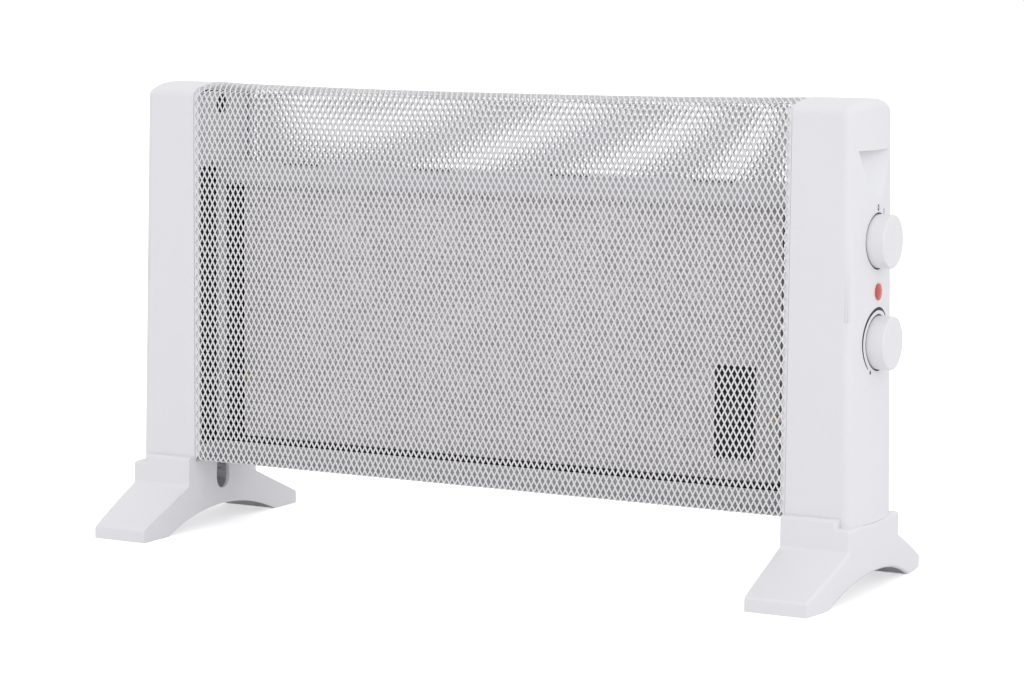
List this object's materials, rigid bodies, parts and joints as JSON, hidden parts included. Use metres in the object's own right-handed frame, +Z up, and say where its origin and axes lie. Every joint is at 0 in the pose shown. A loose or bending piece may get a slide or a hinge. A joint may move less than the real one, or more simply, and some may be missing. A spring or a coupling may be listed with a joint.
{
  "type": "panel heater",
  "caption": "Free-standing mica panel heater on two feet, with a wrap-over mesh grille, moulded end covers and two rotary knobs on the right end.",
  "frame": {"origin": "on the floor, midway along the heater's overall length and depth", "axes": "+X along the heater towards the end with the knobs, front towards -Y, +Z up"},
  "size_m": [0.6568, 0.23, 0.372],
  "materials": {
    "white_plastic": "fine satin moulded plastic",
    "foot_plastic": "fine satin moulded plastic",
    "knob_plastic": "smooth semi-gloss plastic",
    "mesh_paint": "off-white stove enamel on expanded steel",
    "plate_paint": "white paint on sheet steel",
    "black_paint": "matt black paint on sheet steel",
    "rail_paint": "grey-white paint on sheet steel",
    "mica": "speckled grey reconstituted mica",
    "insulator": "matt black fibre",
    "ribbon_alloy": "dull resistance alloy",
    "zinc": "zinc-plated steel",
    "brass": "plain brass",
    "control_body": "dark moulded thermoset",
    "block_plastic": "natural nylon",
    "lamp_lens": "translucent orange-red lens",
    "bush_rubber": "black rubber",
    "lead_sleeve": "white silicone-glass sleeve"
  },
  "bodies": {
    "heater": {"left_end_cover": "white_plastic", "right_end_cover": "white_plastic", "left_foot": "foot_plastic", "right_foot": "foot_plastic", "left_end_plate": "plate_paint", "right_end_plate": "plate_paint", "left_liner": "black_paint", "right_liner": "black_paint", "left_cover_screws": "zinc", "right_cover_screws": "zinc", "left_foot_screws": "zinc", "right_foot_screws": "zinc", "front_mesh": "mesh_paint", "rear_mesh": "mesh_paint", "top_rail": "rail_paint", "bottom_rail": "rail_paint", "upper_insulator": "insulator", "lower_insulator": "insulator", "front_mica_board": "mica", "rear_mica_board": "mica", "mica_core": "mica", "heating_ribbon": "ribbon_alloy", "board_eyelets": "zinc", "element_terminals": "brass", "cutout_bracket": "black_paint", "thermal_cutout": "control_body", "selector_switch": "control_body", "thermostat": "control_body", "control_screws": "zinc", "pilot_lamp_lens": "lamp_lens", "pilot_lamp_body": "control_body", "terminal_block": "block_plastic", "cord_bush": "bush_rubber", "tilt_switch": "control_body", "tilt_pin": "zinc", "left_ring_lug": "zinc", "right_ring_lug": "zinc", "left_element_lead": "lead_sleeve", "right_element_lead": "lead_sleeve", "control_leads": "lead_sleeve", "lead_grommets": "bush_rubber"},
    "selector_dial": {"selector_knob": "knob_plastic", "selector_shaft": "zinc"},
    "thermostat_dial": {"thermostat_knob": "knob_plastic", "thermostat_shaft": "zinc"},
    "pendulum": {"tilt_pendulum": "zinc"}
  },
  "joints": [
    {"name": "selector_turn", "type": "hinge", "parent": "heater", "child": "selector_dial", "pos_m": [0.31315, 0, 0.266], "axis": [-1, 0, 0], "range_deg": [0, 60]},
    {"name": "thermostat_turn", "type": "hinge", "parent": "heater", "child": "thermostat_dial", "pos_m": [0.31315, 0, 0.19], "axis": [-1, 0, 0], "range_deg": [0, 270]},
    {"name": "tilt_swing", "type": "hinge", "parent": "heater", "child": "pendulum", "pos_m": [-0.28345, 0, 0.18], "axis": [1, 0, 0], "range_deg": [-35, 35]}
  ]
}
